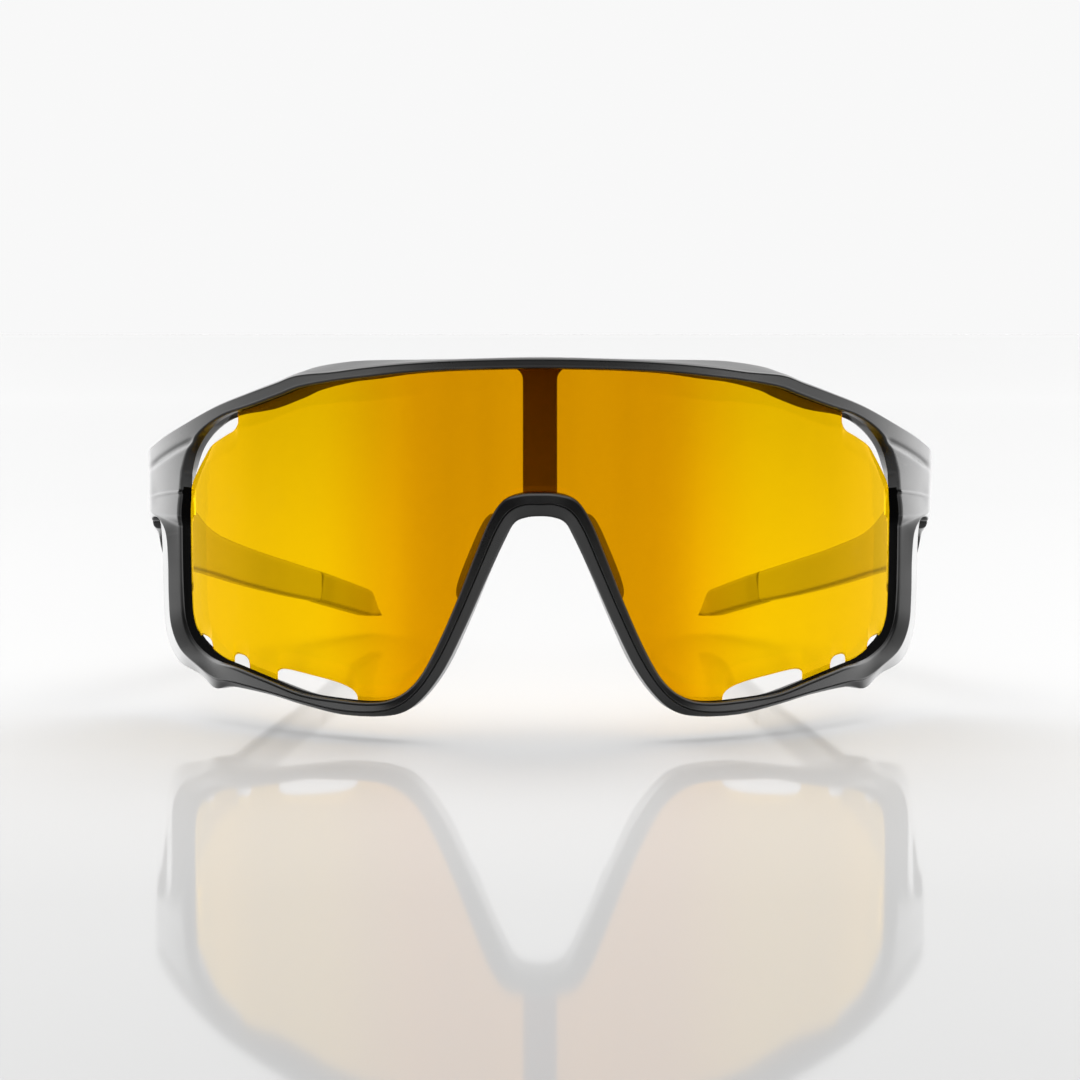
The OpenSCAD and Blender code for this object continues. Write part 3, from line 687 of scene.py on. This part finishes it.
def arm_frames(u):
    """The arm's rows at the places u, and the direction in which it runs there."""
    rows = catmull(arm_rows, u, False)
    last = len(arm_rows) - 1
    ahead = catmull(arm_rows, np.minimum(u + 0.02, last), False)
    step = ahead - catmull(arm_rows, np.maximum(u - 0.02, 0), False)
    heading = step[:, [1, 0]]
    heading[u < 0.01] = (0, 1)
    return rows, heading / np.linalg.norm(heading, axis=1, keepdims=True)


def on_arm(rows, heading, inwards, up):
    """Points of cross-sections: inwards from the outer face, and up from the middle of the height."""
    x = rows[:, 1:2] - heading[:, 1:2] * inwards
    y = rows[:, 0:1] + heading[:, 0:1] * inwards
    z = (rows[:, 2:3] + rows[:, 3:4]) / 2 + up
    return np.stack([x, y, z], axis=-1)


def arm():
    """The arm: a tall flat bar at the hinge that narrows, bends down and runs inwards to the tip."""
    u = np.concatenate([[0, 0, 0.03, 0.08], np.linspace(0.15, arm_end, 100)])
    inset = np.zeros(len(u))
    inset[0] = 0.35
    inset[1] = 0.1
    rows, heading = arm_frames(u)
    t, h = rows[:, 4], (rows[:, 2] - rows[:, 3]) / 2
    zero = 0 * t
    corners = np.stack([
        np.stack([zero + 0.35, -h], 1), np.stack([zero, -h * 0.5], 1), np.stack([zero, h * 0.5], 1),
        np.stack([zero + 0.35, h], 1), np.stack([t, h], 1), np.stack([t, -h], 1),
    ], axis=1)
    corners = np.concatenate([corners, 0 * corners[..., :1]], axis=2)
    section = rounded(corners, [1.1, 3, 3, 1.1, 1.2, 1.2], 6, {1: 2, 3: 2, 4: 4, 5: 2})
    inwards, up = section[..., 0], section[..., 1]
    centre = t[:, None] / 2
    inwards = centre + (inwards - centre) * (1 - inset[:, None] * 2 / t[:, None])
    up = up * (1 - inset[:, None] / h[:, None])
    rings = on_arm(rows, heading, inwards, up)
    rings[1:4, :, 1] += np.array([0.03, 0.06, 0.02])[:, None]
    return rings_mesh(rings)


end_row = arm_rows[arm_end]
end_step = arm_rows[arm_end] - arm_rows[arm_end - 1]
tip_heading = math.atan2(-end_step[1], end_step[0])
tip_drop = math.radians(14.5)
half_t = 1.8                  # half the arm's thickness at its end
tip_o = np.array([end_row[1] - half_t * math.cos(tip_heading), end_row[0] - half_t * math.sin(tip_heading),
                  (end_row[2] + end_row[3]) / 2])
tip_l = 32.0
tip_t = 4.2


def at_tip(p):
    """From the tip's own frame, x back along it, to the design's frame."""
    c, s = math.cos(tip_drop), math.sin(tip_drop)
    x, y, z = p[:, 0] * c + p[:, 2] * s, p[:, 1], p[:, 2] * c - p[:, 0] * s
    a = math.pi / 2 + tip_heading
    return np.stack([x * math.cos(a) - y * math.sin(a), x * math.sin(a) + y * math.cos(a), z], axis=1) + tip_o


def tip():
    """The rubber tip: a long flat piece that ends in a slanted point."""
    x = np.concatenate([[0.02, 0.1, 0.3], np.linspace(0.8, 24, 30), np.linspace(24.4, tip_l, 34)])
    top = np.interp(x, [0, 24.2, 25, 25.8, 26.4, 27, 30.8, 31.5, tip_l],
                    [3.5, 3.12, 3.05, 2.85, 2.55, 2.1, -0.8, -1.45, -2.15])
    low = np.interp(x, [0, 25.5, tip_l], [-3.55, -3.1, -2.2])
    rings = []
    for place, high, deep in zip(x, top, low):
        end = 0.25 if place < 0.05 else 0.08 if place < 0.2 else 0
        tall = max(high - deep - 2 * end, 0.04)
        wide = (tip_t - 2 * end) * (1 - 0.12 * max(0, (place - 26) / 6.4))
        wide -= 0.52 * (1 - smooth(place, 0.5, 6))
        outline = rounded_box(wide, tall, 1.1, 6)
        rings.append([(place, p[0], (high + deep) / 2 + p[1]) for p in outline])
    points, faces = rings_mesh(np.array(rings))
    points = at_tip(points)
    points[:, 2] = np.maximum(points[:, 2], 0)
    return points, faces


for side, name in ((1, "left"), (-1, "right")):
    flip = [side, 1, 1]
    temple = name + "_temple"
    for make, node, material, slot in (
            (arm, "_temple_arm", arm_plastic, "frame_satin"),
            (tip, "_temple_tip", tip_rubber, "grip_rubber")):
        points, faces = make()
        mesh_piece(name + node + "_shape", points * flip, faces, material, temple, name + node, slot)
    points, faces = nose_pad(side)
    pad_node = name + "_nose_pad"
    mesh_piece(pad_node + "_soft", points, faces, pad_rubber, name + "_pad", pad_node, "grip_rubber")

# ---------------------------------------------------------------- CAD pieces that stay
kept = {"frame_hinge": hinge_steel, "temple_hinge": hinge_steel, "temple_core": hinge_steel,
        "hinge_screw": screw_steel, "hinge_nut": screw_steel, "pad_pin": screw_steel,
        "pad_core": core_plastic}
for name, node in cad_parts.items():
    material = kept.get(name.replace("left_", "").replace("right_", ""))
    if material:
        node.data.materials.clear()
        node.data.materials.append(material)
        bevel = node.modifiers.new("soft_edges", "BEVEL")
        bevel.width = 0.00012
        bevel.segments = 2
        bevel.limit_method = "ANGLE"
        bevel.angle_limit = math.radians(40)


# ---------------------------------------------------------------- floor and light
floor_z = -0.0045


def floor():
    """A pale glossy floor, with painted light falloff: darker towards the camera and lighter towards the
    back.
    """
    mesh = bpy.data.meshes.new("floor")
    corners = [(x, y, floor_z) for x, y in ((-6, -6), (6, -6), (6, 6), (-6, 6))]
    mesh.from_pydata(corners, [], [(0, 1, 2, 3)])
    n = Nodes("pale_floor")
    n.tree.nodes.remove(n.bsdf)
    output = n.tree.nodes["Material Output"]
    split = n.set(n.add("ShaderNodeSeparateXYZ"), Vector=n.coords)
    shade = n.add("ShaderNodeValToRGB")
    # painted light falloff: the floor's colour darkens towards the camera and lightens towards the back
    levels = ((0, 0.48), (0.055, 0.54), (0.11, 0.67), (0.2, 0.665), (0.42, 0.67), (1, 0.76))
    for k, (place, level) in enumerate(levels):
        stop = shade.color_ramp.elements[k] if k < 2 else shade.color_ramp.elements.new(place)
        stop.position = place
        stop.color = (level, level, level, 1)
    n.tree.links.new(n.ramp(split.outputs[1], -0.3, 1.6, 0, 1), shade.inputs[0])
    dull = n.set(n.add("ShaderNodeBsdfDiffuse"), Color=shade.outputs[0])
    gloss = n.set(n.add("ShaderNodeBsdfGlossy"), Color=(0.95, 0.95, 0.95, 1), Roughness=0.05)
    both = n.add("ShaderNodeMixShader")
    both.inputs[0].default_value = 0.22
    n.tree.links.new(dull.outputs[0], both.inputs[1])
    n.tree.links.new(gloss.outputs[0], both.inputs[2])
    n.tree.links.new(both.outputs[0], output.inputs["Surface"])
    mesh.materials.append(n.material)
    plane = bpy.data.objects.new("floor", mesh)
    scene.collection.objects.link(plane)
    plane.visible_glossy = False


def studio():
    """Pale surroundings with wide soft lights at both sides and overhead."""
    world = bpy.data.worlds.new("studio")
    world.use_nodes = True
    scene.world = world
    tree = world.node_tree
    links = tree.links
    background = tree.nodes["Background"]
    brightest = 4.0                                            # what a ramp's 1 stands for
    coords = tree.nodes.new("ShaderNodeTexCoord")
    split = tree.nodes.new("ShaderNodeSeparateXYZ")
    links.new(coords.outputs["Generated"], split.inputs[0])

    def math_node(operation, *values):
        node = tree.nodes.new("ShaderNodeMath")
        node.operation = operation
        for socket, value in zip(node.inputs, values):
            if isinstance(value, bpy.types.NodeSocket):
                links.new(value, socket)
            else:
                socket.default_value = value
        return node.outputs[0]

    def ramp(value, stops):
        node = tree.nodes.new("ShaderNodeValToRGB")
        node.color_ramp.interpolation = "EASE"
        while len(node.color_ramp.elements) < len(stops):
            node.color_ramp.elements.new(0.5)
        for element, (place, level) in zip(node.color_ramp.elements, stops):
            element.position = place
            element.color = (level / brightest, level / brightest, level / brightest, 1)
        links.new(value, node.inputs[0])
        return node.outputs[0]

    def mix(factor, a, b):
        node = tree.nodes.new("ShaderNodeMix")
        node.data_type = "RGBA"
        for socket, value in ((node.inputs[0], factor), (node.inputs[6], a), (node.inputs[7], b)):
            if isinstance(value, bpy.types.NodeSocket):
                links.new(value, socket)
            else:
                socket.default_value = value
        return node.outputs[2]

    x, y, z = split.outputs
    flat = math_node("SQRT", math_node("ADD", math_node("MULTIPLY", x, x), math_node("MULTIPLY", y, y)))
    round_way = math_node("DIVIDE", y, math_node("MAXIMUM", flat, 0.001))
    turn = math_node("MULTIPLY_ADD", round_way, 0.5, 0.5)      # 0 in front, 1 behind
    sides = [(0.82, 4), (0.94, 3.4), (0.965, 2.2), (0.985, 1.1), (1, 1)]
    low = ramp(turn, [(0, 0.45), (0.05, 0.6), (0.16, 2.5), (0.6, 2.1)] + sides)
    high = ramp(turn, [(0, 0.05), (0.45, 0.08), (0.62, 1.4)] + sides)
    height = math_node("MULTIPLY_ADD", z, 0.5, 0.5)            # 0 below, 0.5 level, 1 overhead
    up = ramp(height, [(0.44, 0), (0.5, brightest)])
    level = mix(up, low, high)
    over = ramp(height, [(0, 0.3), (0.12, 0.4), (0.36, 1.2), (0.5, 0.9), (0.87, 0.6), (1, 1.5)])
    blend = ramp(height, [(0, brightest), (0.2, brightest), (0.38, 0), (0.85, 0), (0.97, brightest)])
    lit = tree.nodes.new("ShaderNodeVectorMath")
    lit.operation = "SCALE"
    lit.inputs["Scale"].default_value = brightest
    links.new(mix(blend, level, over), lit.inputs[0])
    path = tree.nodes.new("ShaderNodeLightPath")
    seen = math_node("MAXIMUM", path.outputs["Is Camera Ray"], path.outputs["Is Transmission Ray"])
    links.new(mix(seen, lit.outputs[0], (0.94, 0.94, 0.94, 1)), background.inputs[0])
    key_data = bpy.data.lights.new("overhead", "AREA")
    key_data.shape = "DISK"
    key_data.size = 2.2
    key_data.energy = 8
    key = bpy.data.objects.new("overhead", key_data)
    key.location = (0.15, -0.35, 1.3)
    key.rotation_euler = (-0.26, 0.11, 0)
    scene.collection.objects.link(key)


floor()
studio()
